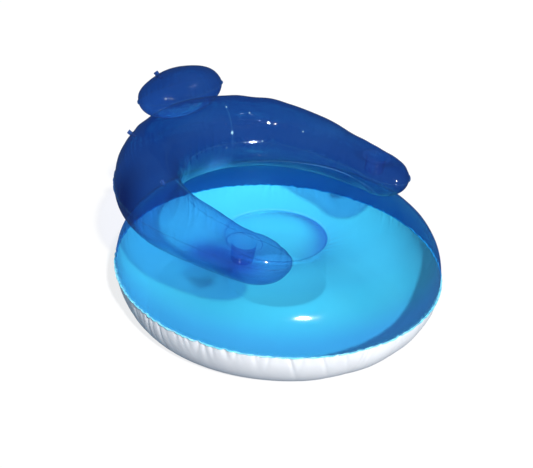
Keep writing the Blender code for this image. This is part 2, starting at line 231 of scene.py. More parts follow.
def closedLengths(path):
    steps = np.linalg.norm(np.roll(path, -1, axis=0) - path, axis=1)
    return np.concatenate([[0], np.cumsum(steps)[:-1]]), steps.sum()


def pathOutward(path):
    # level and square to a closed path, away from what it encloses
    course = np.roll(path, -1, axis=0) - np.roll(path, 1, axis=0)
    out = unit(np.stack([course[:, 1], -course[:, 0], np.zeros(len(path))], -1))
    area = (path[:, 0] * np.roll(path[:, 1], -1) - path[:, 1] * np.roll(path[:, 0], -1)).sum()
    return out if area > 0 else -out


weldWaves = (0.031, 0.047, 0.083)
weldSection = [  # shares of the hem's width and thickness, a bead along each edge
    (0.0, 0.5), (0.12, 0.62), (0.25, 0.42), (0.78, 0.40), (0.90, 0.62), (1.0, 0.30),
    (1.0, -0.30), (0.90, -0.62), (0.78, -0.40), (0.25, -0.42), (0.12, -0.62), (0.0, -0.5),
]


def weldMesh(name, path, outward, lift, looks, seed):
    # the flat welded strip outside a seam; lift is its upward way
    chance = np.random.default_rng(seed)
    arc, length = closedLengths(path)
    flutter = np.zeros(len(path))
    for wave in weldWaves:
        flutter += np.sin(2 * pi * round(length / wave) * arc / length + chance.uniform(0, 2 * pi))
    flutter *= looks["flutter"] / len(weldWaves)
    rows = []
    for reach, level in weldSection:
        side = path + outward * (looks["hem"] * reach) + lift * (looks["thickness"] * level)
        rows.append(side + lift * (flutter * reach)[:, None])
    return ringBody(name, np.array(rows))


def ringBody(name, points):
    # a closed body whose section is closed too, as a bent strip or cord has it
    index = np.arange(points.shape[0] * points.shape[1]).reshape(points.shape[:2])
    below = np.roll(index, -1, axis=0)
    quads = np.stack([index, np.roll(index, -1, axis=1), np.roll(below, -1, axis=1), below], -1)
    mesh = bpy.data.meshes.new(name)
    mesh.from_pydata(points.reshape(-1, 3).tolist(), [], quads.reshape(-1, 4).tolist())
    mesh.update()
    bm = bmesh.new()
    bm.from_mesh(mesh)
    bmesh.ops.recalc_face_normals(bm, faces=bm.faces)
    bm.to_mesh(mesh)
    bm.free()
    mesh.shade_smooth()
    return mesh


def openHole(mesh, centre, normal, radius, count):
    # cuts a clean round hole in a fine sheet, where a fitting goes through it
    margin, clear, patch = 0.0015, 0.006, 0.02
    bm = bmesh.new()
    bm.from_mesh(mesh)
    normal = normal.normalized()

    def reach(vertex):
        offset = vertex.co - centre
        level = offset.dot(normal)
        return (offset - level * normal).length if abs(level) < clear else 1e9

    facing = [f for f in bm.faces if f.normal.dot(normal) > 0.3]
    doomed = [f for f in facing if any(reach(v) < radius + margin for v in f.verts)]
    inside = set(doomed)
    border = [e for f in doomed for e in f.edges if len(inside.intersection(e.link_faces)) == 1]
    bmesh.ops.delete(bm, geom=doomed, context="FACES")
    border = [e for e in set(border) if e.is_valid]
    side = normal.orthogonal().normalized()
    other = normal.cross(side)
    ring = []
    for k in range(count):
        turn = 2 * pi * k / count
        ring.append(bm.verts.new(centre + radius * (cos(turn) * side + sin(turn) * other)))
    edges = [bm.edges.new((ring[k - 1], ring[k])) for k in range(count)]
    bmesh.ops.triangle_fill(bm, edges=border + edges, use_beauty=True, normal=normal)
    bm.normal_update()
    for face in bm.faces:
        turned = len(face.verts) == 3 and face.normal.dot(normal) < 0
        if turned and reach(face.verts[0]) < radius + patch:
            face.normal_flip()
    bm.to_mesh(mesh)
    bm.free()
    mesh.shade_smooth()


def turnedMesh(name, profile, segments, axes):
    # turns (radius, height) points about the local Z of axes into a film, upper face out
    radius, height = np.array(profile).T[..., None, None]
    mesh = sheetMesh(name, radius * roundWays(segments)[1] + height * lifted, 1, closed=True)
    mesh.transform(axes)
    mesh.set_sharp_from_angle(angle=radians(50))
    return mesh


# Finishes

def addNode(tree, kind, inputs=None, **values):
    # inputs gives sockets, by name or number, a plain value or the socket that feeds them
    node = tree.nodes.new(kind)
    for name, value in values.items():
        setattr(node, name, value)
    for name, value in (inputs or {}).items():
        if isinstance(value, bpy.types.NodeSocket):
            tree.links.new(value, node.inputs[name])
        else:
            node.inputs[name].default_value = value
    return node


def compute(tree, operation, *terms):
    return addNode(tree, "ShaderNodeMath", dict(enumerate(terms)), operation=operation).outputs[0]


def vectorMath(tree, operation, *terms):
    node = addNode(tree, "ShaderNodeVectorMath", dict(enumerate(terms)), operation=operation)
    return node.outputs["Value" if operation in ("DOT_PRODUCT", "LENGTH") else "Vector"]


def mapRange(tree, value, ends, kind="LINEAR"):
    # ends names the ends of the two ranges that aren't 0 and 1
    node = addNode(tree, "ShaderNodeMapRange", {"Value": value, **ends}, interpolation_type=kind)
    return node.outputs["Result"]


def between(tree, value, ends):
    return mapRange(tree, value, {"To Min": ends[0], "To Max": ends[1]})


def mixColour(tree, share, low, high, blend="MIX"):
    # low and high are plain colours or colour sockets
    low, high = [(*end, 1) if isinstance(end, tuple) else end for end in (low, high)]
    sockets = {"Factor": share, "A": low, "B": high}
    return addNode(tree, "ShaderNodeMix", sockets, data_type="RGBA", blend_type=blend).outputs["Result"]


def mixShaders(tree, share, first, second):
    return addNode(tree, "ShaderNodeMixShader", {0: share, 1: first, 2: second}).outputs[0]


def newGroup(name, inputs, outputs):
    group = bpy.data.node_groups.new(name, "ShaderNodeTree")
    for way, labels in (("INPUT", inputs), ("OUTPUT", outputs)):
        for label in labels:
            group.interface.new_socket(name=label, in_out=way, socket_type="NodeSocketFloat")
    return group, addNode(group, "NodeGroupInput").outputs


def newTree(owner):
    owner.use_nodes = True
    owner.node_tree.nodes.clear()
    return owner.node_tree


def vinylSkinGroup():
    # shared surface of every film: slow sag, fine calender grain, and handling smudges
    scales = ("Sag Scale", "Grain Scale", "Smudge Scale")
    group, given = newGroup("vinylSkin", scales, ("Height", "Smudge", "Tone"))
    place = addNode(group, "ShaderNodeTexCoord").outputs["Object"]

    def noise(scale, detail, roughness=0.5):
        sockets = {"Vector": place, "Scale": scale, "Detail": detail, "Roughness": roughness}
        return addNode(group, "ShaderNodeTexNoise", sockets).outputs["Fac"]

    grain = compute(group, "MULTIPLY", noise(given["Grain Scale"], 3.0), 0.012)
    height = compute(group, "ADD", noise(given["Sag Scale"], 2.0), grain)
    smudge = mapRange(group, noise(given["Smudge Scale"], 4.0, 0.6), {"From Min": 0.42, "From Max": 0.72})
    tone = mapRange(group, noise(3.1, 1.5), {"From Min": 0.35, "From Max": 0.65})
    addNode(group, "NodeGroupOutput", {"Height": height, "Smudge": smudge, "Tone": tone})
    return group


def markGroup():
    # a soft line at one place, and an area that starts there and fades to an even share below it
    group, given = newGroup("filmMark", ("Place", "Centre", "Width", "Even Share"), ("Line", "Area"))
    below = compute(group, "SUBTRACT", given["Centre"], given["Place"])
    apart = compute(group, "ABSOLUTE", below)
    lineEnds = {"From Max": given["Width"], "To Min": 1.0, "To Max": 0.0}
    line = mapRange(group, apart, lineEnds, "SMOOTHSTEP")
    areaEnds = {"From Max": given["Width"], "To Min": 1.0, "To Max": given["Even Share"]}
    fade = mapRange(group, below, areaEnds, "SMOOTHSTEP")
    area = compute(group, "MULTIPLY", fade, compute(group, "GREATER_THAN", below, 0.0))
    addNode(group, "NodeGroupOutput", {"Line": line, "Area": area})
    return group


skinGroup = vinylSkinGroup()
filmMarkGroup = markGroup()


def markMask(tree, mark):
    # measured from a plane, or after mark["scale"] from an axis, a level or a spot
    place = addNode(tree, "ShaderNodeTexCoord").outputs["Object"]
    if "plane" in mark:
        reach = vectorMath(tree, "DOT_PRODUCT", place, mark["plane"])
    else:
        offset = vectorMath(tree, "SUBTRACT", place, mark.get("spot", (0, 0, 0)))
        reach = vectorMath(tree, "LENGTH", vectorMath(tree, "MULTIPLY", offset, mark["scale"]))
    sockets = {"Place": reach, "Centre": mark.get("centre", 0.0), "Width": mark.get("width", 1.0)}
    sockets["Even Share"] = mark.get("even", 0.0)
    group = addNode(tree, "ShaderNodeGroup", sockets, node_tree=filmMarkGroup)
    mask = group.outputs["Area" if "even" in mark else "Line"]
    for way, low, high in mark.get("sides", ()):  # a direction, where the mark starts and where it is whole
        level = vectorMath(tree, "DOT_PRODUCT", place, way)
        part = mapRange(tree, level, {"From Min": low, "From Max": high}, "SMOOTHSTEP")
        mask = compute(tree, "MULTIPLY", mask, part)
    return mask


def placeSkin(tree, looks):
    scales = {"Sag Scale": "sagScale", "Grain Scale": "grainScale", "Smudge Scale": "smudgeScale"}
    sockets = {socket: looks[name] for socket, name in scales.items()}
    skin = addNode(tree, "ShaderNodeGroup", sockets, node_tree=skinGroup).outputs
    dents = {"Strength": looks["bumpStrength"], "Distance": looks["bumpDistance"], "Height": skin["Height"]}
    normal = addNode(tree, "ShaderNodeBump", dents).outputs["Normal"]
    return skin, normal, between(tree, skin["Smudge"], looks["rough"])


def clearFilm(name, looks):
    # tinted film: what is behind shows through it, and its gloss grows at a slant
    # tints are for thin film, thick film and film at a slant, hazes for clean and smudged film
    looks = {**filmSkin, **looks}
    thin, thick, slanted = looks["tints"]
    material = bpy.data.materials.new(name)
    tree = newTree(material)
    skin, normal, rough = placeSkin(tree, looks)
    slant = addNode(tree, "ShaderNodeLayerWeight", {"Blend": looks["slantBlend"]}).outputs["Facing"]
    tint = mixColour(tree, slant, mixColour(tree, skin["Tone"], thin, thick), slanted)
    cloud = mixColour(tree, skin["Smudge"], *looks["hazes"])
    hazeShare = between(tree, skin["Smudge"], looks["hazeShare"])
    # marks tint or haze the film: the ring weld's lines, and painted shade, painted shadow and painted
    # highlights
    for mark in looks.get("marks", ()):
        mask = markMask(tree, mark)
        if "tint" in mark:
            veil = mixColour(tree, mask, (1.0, 1.0, 1.0), mark["tint"])
            tint = mixColour(tree, 1.0, tint, veil, "MULTIPLY")
        if "haze" in mark:
            cloud = mixColour(tree, mask, cloud, mark["hazeColour"])
            hazeShare = compute(tree, "MULTIPLY_ADD", mask, mark["haze"], hazeShare)
    if "tintShadow" in looks:
        shadowRay = addNode(tree, "ShaderNodeLightPath").outputs["Is Shadow Ray"]
        tint = mixColour(tree, shadowRay, tint, looks["tintShadow"])
    through = addNode(tree, "ShaderNodeBsdfTransparent", {"Color": tint}).outputs[0]
    finish = {"Roughness": rough, "Normal": normal}
    haze = addNode(tree, "ShaderNodeBsdfPrincipled", {"Base Color": cloud, **finish}).outputs[0]
    body = mixShaders(tree, hazeShare, through, haze)
    shine = {"Base Color": (*looks["gloss"], 1), "Metallic": 1.0, **finish}
    gloss = addNode(tree, "ShaderNodeBsdfPrincipled", shine).outputs[0]
    # facing at an even blend is the same from both sides of the film
    edge = addNode(tree, "ShaderNodeLayerWeight", {"Blend": 0.5, "Normal": normal}).outputs["Facing"]
    steep = compute(tree, "POWER", edge, looks["glossPower"])
    share = between(tree, steep, looks["glossShare"])
    addNode(tree, "ShaderNodeOutputMaterial", {"Surface": mixShaders(tree, share, body, gloss)})
    return material


def solidVinyl(name, looks):
    # opaque film or weld: satin vinyl with slow tone changes and smudges
    material = bpy.data.materials.new(name)
    tree = newTree(material)
    skin, normal, rough = placeSkin(tree, looks)
    light, dark, smudged = looks["colours"]
    colour = mixColour(tree, skin["Smudge"], mixColour(tree, skin["Tone"], light, dark), smudged)
    if "colourInside" in looks:  # painted light: the inside is a lighter colour and its normals lean up, as light scattered inside evens the folds out
        inside = addNode(tree, "ShaderNodeNewGeometry").outputs["Backfacing"]
        colour = mixColour(tree, inside, colour, looks["colourInside"])
        share = compute(tree, "MULTIPLY", inside, looks["evenInside"])
        blend = {"Factor": share, "A": normal, "B": (0, 0, 1)}
        normal = addNode(tree, "ShaderNodeMix", blend, data_type="VECTOR").outputs["Result"]
    shader = {"Base Color": colour, "Roughness": rough, "Normal": normal}
    shader.update({"Coat Weight": looks["coat"], "Coat Roughness": looks["coatRough"]})
    surface = addNode(tree, "ShaderNodeBsdfPrincipled", shader).outputs[0]
    if "through" in looks:
        glow = addNode(tree, "ShaderNodeBsdfTranslucent", {"Color": colour, "Normal": normal}).outputs[0]
        surface = mixShaders(tree, looks["through"], surface, glow)
    addNode(tree, "ShaderNodeOutputMaterial", {"Surface": surface})
    return material


filmSkin = {
    "sagScale": 9.0,
    "grainScale": 420.0,
    "smudgeScale": 5.0,
    "bumpStrength": 0.35,
    "bumpDistance": 0.004,
    "rough": (0.055, 0.12),
    "slantBlend": 0.35,
    "gloss": (0.90, 0.96, 1.0),
    "glossPower": 5.0,
    "glossShare": (0.05, 0.55),
}
roundRing = {"spot": (-0.010, 0.012, 0), "scale": (1, 1, 0)}
baseFilm = clearFilm("baseFilm", {
    "tints": ((0.245, 0.795, 0.955), (0.215, 0.77, 0.945), (0.17, 0.60, 0.88)),
    "hazes": ((0.04, 0.42, 0.80), (0.14, 0.52, 0.82)),
    "hazeShare": (0.018, 0.035),
    "tintShadow": (0.23, 0.785, 0.95),
    "marks": [  # the ring weld's lines, painted shade on the film that slopes to it, darker towards the right, and a painted shadow behind the near cup
        {**roundRing, "centre": 0.1762, "width": 0.0052, "tint": (0.62, 0.68, 0.82)},
        {**roundRing, "centre": 0.1835, "width": 0.0034, "haze": 0.10, "hazeColour": (0.45, 0.90, 1.0)},
        # painted shade: the film inside the ring weld is tinted darker, fading inward, most on the right
        {
            **roundRing, "centre": 0.1770, "width": 0.105, "even": 0.0,
            "sides": [((0.75, -0.66, 0), -0.02, 0.16)], "tint": (0.60, 0.41, 0.74),
        },
        # painted shadow: three darker spots on the base where the near cup's shadow falls
        {"spot": (-0.255, 0.035, 0), "scale": (6.4, 7.0, 0), "tint": (0.60, 0.40, 0.76)},
        {"spot": (-0.345, 0.045, 0), "scale": (8.5, 8.0, 0), "tint": (0.62, 0.40, 0.78)},
        {"spot": (-0.335, -0.065, 0), "scale": (9.0, 8.5, 0), "tint": (0.54, 0.32, 0.76)},
        # painted shade: a band round the base's side wall is tinted darker and hazed deeper blue
        {
            "scale": (0, 0, 1), "centre": 0.19, "width": 0.105, "tint": (0.88, 0.80, 0.97),
            "haze": 0.10, "hazeColour": (0.06, 0.26, 1.0),
        },
    ],
})
paintedGlints = (  # painted glints: small light spots on the rear's inner side, where small wrinkles would catch the light
    (0.160, 0.368, 0.575), (0.221, 0.309, 0.550), (0.117, 0.331, 0.442),
    (0.230, 0.253, 0.453), (0.317, 0.136, 0.496),
)
# each painted glint is a small spot of pale haze
glintSpot = {"scale": (170, 170, 150), "haze": 0.40, "hazeColour": (0.55, 0.92, 1.0)}
armCourse = (0.266, -0.774, -0.575)
tubeLooks = {
    "slantBlend": 0.17,
    "tints": ((0.86, 0.895, 0.995), (0.69, 0.79, 0.965), (0.05, 0.14, 0.42)),
    "tintShadow": (0.71, 0.76, 0.945),
    "hazes": ((0.03, 0.16, 0.52), (0.06, 0.24, 0.60)),
    "hazeShare": (0.030, 0.060),
    "marks": [
        # painted shade: the film is tinted darker at the left bend and at the arms' ends
        {"spot": (-0.44, 0.30, 0.47), "scale": (6.0, 7.5, 6.0), "tint": (0.18, 0.20, 0.46)},
        {"spot": (0.40, -0.15, 0.45), "scale": (6, 4, 6), "tint": (0.80, 0.80, 0.92)},
        {"spot": (-0.44, -0.21, 0.37), "scale": (5.5, 5.5, 9), "tint": (0.92, 0.78, 0.97)},
        {  # painted highlight: a faint upright light streak at the rear, where a fine fold would catch the light
            "plane": (-0.918, 0.397, 0), "width": 0.0036, "sides": [((0.397, 0.918, 0), 0.44, 0.40)],
            "haze": 0.035, "hazeColour": (0.15, 0.60, 1.0),
        },
        {  # light along the inner edge of the sitter's right arm
            "plane": (-0.6984, 0.3254, -0.6375), "centre": -0.0445, "width": 0.0040,
            "sides": [(armCourse, -0.545, -0.525), (armCourse, -0.440, -0.475)],
            "haze": 0.30, "hazeColour": (0.03, 0.36, 0.80),
        },
        # painted highlight: a bright glint on the rear's inner side
        {
            "spot": (0.139, 0.324, 0.495), "scale": (120, 120, 90),
            "haze": 0.70, "hazeColour": (0.60, 0.95, 1.0),
        },
        # the painted glints
        *({"spot": place, **glintSpot} for place in paintedGlints),
    ],
}
tubeFilm = clearFilm("tubeFilm", tubeLooks)
tubeFootFilm = clearFilm("tubeFootFilm", {
    **tubeLooks,
    "marks": tubeLooks["marks"] + [  # light caught where the tube's foot meets the base
        {
            "spot": (0.070, 0.048, 0), "scale": (1, 1, 0), "centre": 0.367, "width": 0.0048,
            "sides": [((0.8, 0.6, 0), 0.18, 0.26)], "haze": 0.30, "hazeColour": (0.30, 0.75, 1.0),
        },
        {"spot": (0.10, 0.37, 0.36), "scale": (8, 14, 12), "haze": 0.34, "hazeColour": (0.12, 0.46, 1.0)},
    ],
})
# painted light: the pillow's under side darkens less at a slant than the tube, and is hazed lighter blue on
# its lower part
pillowUnderFilm = clearFilm("pillowUnderFilm", {
    **tubeLooks,
    "tints": (*tubeLooks["tints"][:2], (0.34, 0.50, 0.82)),
    "marks": [
        {"spot": (-0.08, 0.43, 0.61), "scale": (4.5, 6, 14), "haze": 0.22, "hazeColour": (0.06, 0.30, 0.90)},
    ],
})
cupFilm = clearFilm("cupFilm", {
    "slantBlend": 0.24,
    "tints": ((0.88, 0.87, 0.985), (0.82, 0.83, 0.97), (0.26, 0.46, 0.80)),
    "tintShadow": (0.24, 0.36, 0.66),
    "hazes": ((0.06, 0.18, 0.60), (0.10, 0.26, 0.66)),
    "hazeShare": (0.05, 0.09),
})
clearVinyl = clearFilm("clearVinyl", {
    "tints": ((0.72, 0.88, 0.97), (0.66, 0.85, 0.96), (0.50, 0.76, 0.93)),
    "hazes": ((0.45, 0.66, 0.85), (0.60, 0.75, 0.88)),
    "hazeShare": (0.12, 0.20),
})
deepVinyl = clearFilm("deepVinyl", {
    "tints": ((0.55, 0.74, 0.93), (0.48, 0.68, 0.91), (0.24, 0.44, 0.74)),
    "hazes": ((0.10, 0.26, 0.58), (0.16, 0.34, 0.66)),
    "hazeShare": (0.12, 0.20),
})
baffleFilm = clearFilm("baffleFilm", {
    "tints": ((0.997, 0.998, 0.999), (0.995, 0.997, 0.998), (0.985, 0.992, 0.996)),
    "hazes": ((0.75, 0.86, 0.95), (0.80, 0.90, 0.96)),
    "hazeShare": (0.001, 0.003),
    "glossShare": (0.003, 0.03),
})
whiteSheet = solidVinyl("whiteSheet", {
    "sagScale": 9.0,
    "grainScale": 520.0,
    "smudgeScale": 4.0,
    "bumpStrength": 0.35,
    "bumpDistance": 0.003,
    "rough": (0.30, 0.46),
    "colours": ((0.90, 0.905, 0.93), (0.87, 0.875, 0.90), (0.85, 0.855, 0.89)),
    # painted light: the inside is a lighter white than the outside
    "colourInside": (0.98, 0.98, 1.0),
    "evenInside": 0.45,
    "through": 0.14,
    "coat": 0.12,
    "coatRough": 0.25,
})
rimWeld = solidVinyl("rimWeld", {
    "sagScale": 30.0,
    "grainScale": 600.0,
    "smudgeScale": 40.0,
    "bumpStrength": 0.5,
    "bumpDistance": 0.001,
    "rough": (0.16, 0.30),
    "colours": ((0.24, 0.80, 0.97), (0.16, 0.72, 0.95), (0.45, 0.88, 0.98)),
    "coat": 0.5,
    "coatRough": 0.10,
})
tubeWeld = clearFilm("tubeWeld", {
    "sagScale": 30.0,
    "tints": ((0.97, 0.985, 0.995), (0.95, 0.975, 0.99), (0.88, 0.94, 0.98)),
    "hazes": ((0.10, 0.34, 0.70), (0.20, 0.50, 0.84)),
    "hazeShare": (0.03, 0.07),
    "glossShare": (0.05, 0.30),
})
print("finishes made")


# Base: the clear top sheet and the white bottom sheet, welded round the rim

base = {
    "radius": 0.563,
    "height": 0.320,
    "crownRadius": 0.415,
    "crownWidth": 0.060,
    "ringRadius": 0.172,
    "ringDepth": 0.069,
    "ringDrift": (-0.010, 0.012),
    "creaseTurn": radians(165),
    "domeRise": 0.034,
    "flankTurn": radians(70),
    "columns": 1180,
    "pitch": 0.029,
    "depth": 0.0018,
    "reach": 0.024,
    "width": 0.0042,
    "drawIn": 0.0022,
    "lift": 0.0024,
    "fadeIn": 0.014,
    "hem": 0.006,
    "thickness": 0.0011,
    "flutter": 0.0022,
    "rimTilt": 0.010,
    "rimTiltTurn": radians(-57),
    "rimTiltReach": 0.20,
    "ringBead": 0.0009,
    "ringBeadGap": 0.0062,
    "ringPleats": 34,
    "ringPleatDepth": 0.0011,
    "ringPleatReach": 0.030,
    "ringPleatStart": 0.012,
    "swell": 0.0009,
    "swellLengths": (0.16, 0.27),
    "swellFade": 0.05,
    "webRipple": 0.0012,
    "webFolds": 26,
    "webThickness": 0.0005,
}


def baseProfile():
    # radius and height above the seam, from the middle out to the seam
    top = base["height"] / 2
    ringLevel = top - base["ringDepth"]
    inner = base["ringRadius"] - base["ringBeadGap"]
    outer = base["ringRadius"] + base["ringBeadGap"]
    crownIn = base["crownRadius"] - base["crownWidth"] / 2
    crownOut = base["crownRadius"] + base["crownWidth"] / 2
    dome = np.linspace(0, 1, 26)[:-1]
    band = np.linspace(inner, outer, 25)
    flank = np.linspace(0, 1, 46)[1:]
    fall = (1 - np.cos((1 - flank) * base["flankTurn"])) / (1 - cos(base["flankTurn"]))
    crown = np.linspace(crownIn, crownOut, 9)[1:]
    turn = np.concatenate([np.linspace(pi / 2, 0.5, 28)[1:], np.linspace(0.5, 0, 30)[1:]])
    radius, height = np.hstack([
        (inner * dome, ringLevel + base["domeRise"] * (1 - dome**2)),
        (band, ringLevel + 0 * band),
        (outer + (crownIn - outer) * flank, top - base["ringDepth"] * fall),
        (crown, top + 0 * crown),
        (crownOut + (base["radius"] - crownOut) * np.cos(turn), top * np.sin(turn)),
    ])
    for bead in (inner, outer):  # two fine ridges that the ring weld leaves
        height = height + base["ringBead"] * np.exp(-(((radius - bead) / 0.0011) ** 2))
    return radius, height


baseRadius, baseHeight = baseProfile()
baseTurns, baseAround = roundWays(base["columns"])
baseLength = 2 * pi * base["radius"]
baseArc = baseTurns * base["radius"]
baseCreasesTop = seamCreases(baseLength, base, 11)
for crease in baseCreasesTop:  # the left of the rim is drawn in the most
    facing = cos(crease["place"] / base["radius"] - base["creaseTurn"])
    crease["depth"] *= 0.45 + 0.65 * float(smoothStep(-0.4, 0.6, facing))
baseDrawn, baseLift = seamScallops(baseArc, baseCreasesTop, baseLength, base)
baseStep = np.hypot(np.gradient(baseRadius), np.gradient(baseHeight))
baseAway = np.cumsum(baseStep[::-1])[::-1] - baseStep[-1]
baseTilt = -base["rimTilt"] * np.cos(baseTurns - base["rimTiltTurn"])


def ringShare(radius):
    # 1 inside the ring weld, 0 from the crown outwards
    return 1 - smoothStep(base["ringRadius"], base["crownRadius"] - base["crownWidth"] / 2, radius)


def baseSheetPoints(side, creases):
    # side is 1 on the top sheet and -1 on the bottom one
    slopeR, slopeH = np.gradient(baseRadius), np.gradient(baseHeight)
    size = np.hypot(slopeR, slopeH)
    normal = (-slopeH / size)[:, None, None] * baseAround + side * (slopeR / size)[:, None, None] * lifted
    points = baseRadius[:, None, None] * baseAround + (side * baseHeight)[:, None, None] * lifted
    if side > 0:
        points[..., :2] += ringShare(baseRadius)[:, None, None] * np.array(base["ringDrift"])
    points[..., 2] += base["height"] / 2
    away = np.maximum(baseAway, 0)[:, None]
    sunk = creaseDepth(baseArc, away, creases, baseLength)
    fromRing = baseRadius - base["ringRadius"]
    nearRing = np.exp(-np.abs(fromRing) / base["ringPleatReach"])
    nearRing *= 1 - np.exp(-((fromRing / base["ringPleatStart"]) ** 2))
    pleats = np.cos(base["ringPleats"] * baseTurns + 1.3 * np.sin(5 * baseTurns + side))
    pleats += 0.6 * np.cos(23 * baseTurns + 2.0 * np.sin(3 * baseTurns))
    pleatDepth = base["ringPleatDepth"] * (1.0 if side > 0 else 0.3)
    sunk = sunk + pleatDepth * nearRing[:, None] * pleats[None, :]
    offCrown = np.abs(baseRadius - base["crownRadius"]) - base["crownWidth"] / 2
    free = smoothStep(0.0, base["swellFade"], baseAway) * smoothStep(0.0, 0.03, offCrown)
    sunk = sunk + base["swell"] * free[:, None] * softWaves(points, base["swellLengths"], 5 + side)
    points = points + sunk[..., None] * normal
    points = points + seamPull(away, baseDrawn, baseAround, baseLift, base)
    wide = 1 - smoothStep(0.0, base["rimTiltReach"], baseAway)[:, None]
    points = points + (wide * baseTilt)[..., None] * lifted
    points[offCrown <= 1e-6, :, 2] = base["height"] if side > 0 else 0.0
    return points


valve = {
    "flange": 0.010,  # from the body's inner end out to the film
    "seat": 0.016,
    "seatFade": {"base": 0.045, "backrest": 0.042, "pillow": 0.036},
    "seatDepth": 0.02,
    "hole": 0.0066,
    "holeCorners": 24,
}


def valveAxes(chamber):
    # origin on the film under the flange, local Z out of the film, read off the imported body
    joint = [j for j in frame["joints"] if j["name"] == chamber + "_plug_pull"][0]
    axis = Vector(joint["axis"]).normalized()
    side = axis.orthogonal().normalized()
    place = Vector()
    corners = [v.co for v in frame["nodes"][chamber + "_valve_body"].data.vertices]
    for way in (side, axis.cross(side)):
        levels = [corner.dot(way) for corner in corners]
        place += way * ((min(levels) + max(levels)) / 2)
    return place + axis * (min(corner.dot(axis) for corner in corners) + valve["flange"]), axis


def openValve(mesh, chamber):
    openHole(mesh, *valveAxes(chamber), valve["hole"], valve["holeCorners"])


def seatValve(points, chamber):
    # draws the fine sheet down to the valve's flange, as its welded patch does
    origin, axis = valveAxes(chamber)
    offset = points - np.array(origin)
    level = offset @ np.array(axis)
    radial = np.linalg.norm(offset - level[..., None] * np.array(axis), axis=-1)
    weight = 1 - smoothStep(valve["seat"], valve["seatFade"][chamber], radial)
    weight = weight * (np.abs(level) < valve["seatDepth"])
    return points - (weight * level)[..., None] * np.array(axis)


def makeBase():
    top = seatValve(baseSheetPoints(1, baseCreasesTop), "base")
    mesh = sheetMesh("base_top", top, 1, closed=True)
    openValve(mesh, "base")
    addPiece("base_top", mesh, baseFilm, ["base_top_sheet"])
    bottomCreases = [dict(c, depth=c["depth"] * 2.3, reach=c["reach"] * 1.5) for c in baseCreasesTop]
    bottom = baseSheetPoints(-1, bottomCreases)
    mesh = sheetMesh("base_bottom", bottom, -1, closed=True)
    addPiece("base_bottom", mesh, whiteSheet, ["base_bottom_sheet"])
    seam = (base["radius"] + baseDrawn)[:, None] * baseAround
    seam[:, 2] = base["height"] / 2 + baseLift + baseTilt
    mesh = weldMesh("base_rim_weld", seam, baseAround, lifted, base, 17)
    addPiece("base_rim_weld", mesh, rimWeld)


def makeBaffle():
    # thin web between the two ring welds, with its film's thickness and a slight ripple
    rows = np.linspace(0, 1, 13)[:, None]
    level = base["ringDepth"] + (base["height"] - 2 * base["ringDepth"]) * rows
    folds = np.cos(base["webFolds"] * baseTurns + 0.8 * np.sin(3 * baseTurns))
    ripple = base["webRipple"] * np.sin(pi * rows) * folds
    walls = []
    for half in (-0.5, 0.5):
        wall = (base["ringRadius"] + ripple + half * base["webThickness"])[..., None] * baseAround
        wall[..., :2] += rows[..., None] * np.array(base["ringDrift"])
        wall[..., 2] = level
        walls.append(wall)
    return ringBody("base_web", np.concatenate([walls[0], walls[1][::-1]]))


makeBase()
addPiece("base_web", makeBaffle(), baffleFilm, ["base_baffle"])
print("base made")


# Back and arm tube, given at the rear, the shoulders, the elbows and the tips

tube = {
    "stations": (0.0, 0.36, 0.70, 1.0),
    "pathRadii": (0.457, 0.445, 0.402, 0.436),
    "heights": (0.282, 0.252, 0.180, 0.134),
    "halfWidths": (0.1055, 0.106, 0.087, 0.083),
    "seamLifts": (0.0, 0.0, 0.013, 0.017),
    "rightSlim": (0.0, 0.0, 0.008, 0.008),  # the sitter's right arm is pulled in a little
    "sweep": radians(128.3),
    "tipLength": 0.133,
    "footTurn": radians(72),
    "underside": 0.3203,
    "saddleTurn": radians(75),
    "columns": 44,
    "bodyRows": 640,
    "tipRows": 46,
    "pitch": 0.030,
    "depth": 0.0024,
    "reach": 0.030,
    "width": 0.0046,
    "drawIn": 0.0018,
    "lift": 0.0016,
    "fadeIn": 0.016,
    "hem": 0.0045,
    "thickness": 0.0010,
    "flutter": 0.0016,
    "swell": 0.0016,
    "swellLengths": (0.11, 0.17, 0.24),
    "swellFade": 0.03,
    "saddleSoft": 0.006,
    "footSoft": 0.004,
}
cup = {
    "share": 0.845,
    "centre": (0.397138, -0.132247, 0.450715),
    "padFlat": 0.056,
    "padBlend": 0.112,
    "padSoft": 0.012,
    "padSwells": (0.058, 0.09),  # where the swells and the creases fade in round the pad
    "padCreases": (0.057, 0.075),
    "lean": radians(6),
    "bore": 0.037,
    "floor": 0.034,
    "depth": 0.060,
    "wall": 0.0008,
    "lip": 0.018,
    "round": 0.004,
    "weld": 0.003,
}


def along(shares, sizes):
    # a smooth curve through the sizes at the four stations, level at the rear
    stations, sizes = np.array(tube["stations"]), np.array(sizes)
    place = np.abs(shares)
    slopes = [0.0]
    for k, after in ((1, 2), (2, 3), (3, 3)):
        slopes.append((sizes[after] - sizes[k - 1]) / (stations[after] - stations[k - 1]))
    slopes = np.array(slopes)
    k = np.clip(np.searchsorted(stations, place, side="left") - 1, 0, 2)
    span = stations[k + 1] - stations[k]
    u = (place - stations[k]) / span
    start = (2 * u**3 - 3 * u**2 + 1) * sizes[k] + (u**3 - 2 * u**2 + u) * span * slopes[k]
    finish = (3 * u**2 - 2 * u**3) * sizes[k + 1] + (u**3 - u**2) * span * slopes[k + 1]
    return start + finish


def slimming(shares):
    return np.where(shares < 0, along(shares, tube["rightSlim"]), 0.0)


def tubePath(shares):
    turn = shares * tube["sweep"]
    radius = along(shares, tube["pathRadii"]) - slimming(shares)
    return np.stack([radius * np.sin(turn), radius * np.cos(turn), 0 * turn], -1)


def tubeTangent(shares):
    step = 0.002
    side = np.where(shares >= 0, 1.0, -1.0)
    return unit(tubePath(shares + side * step) - tubePath(shares - side * step))


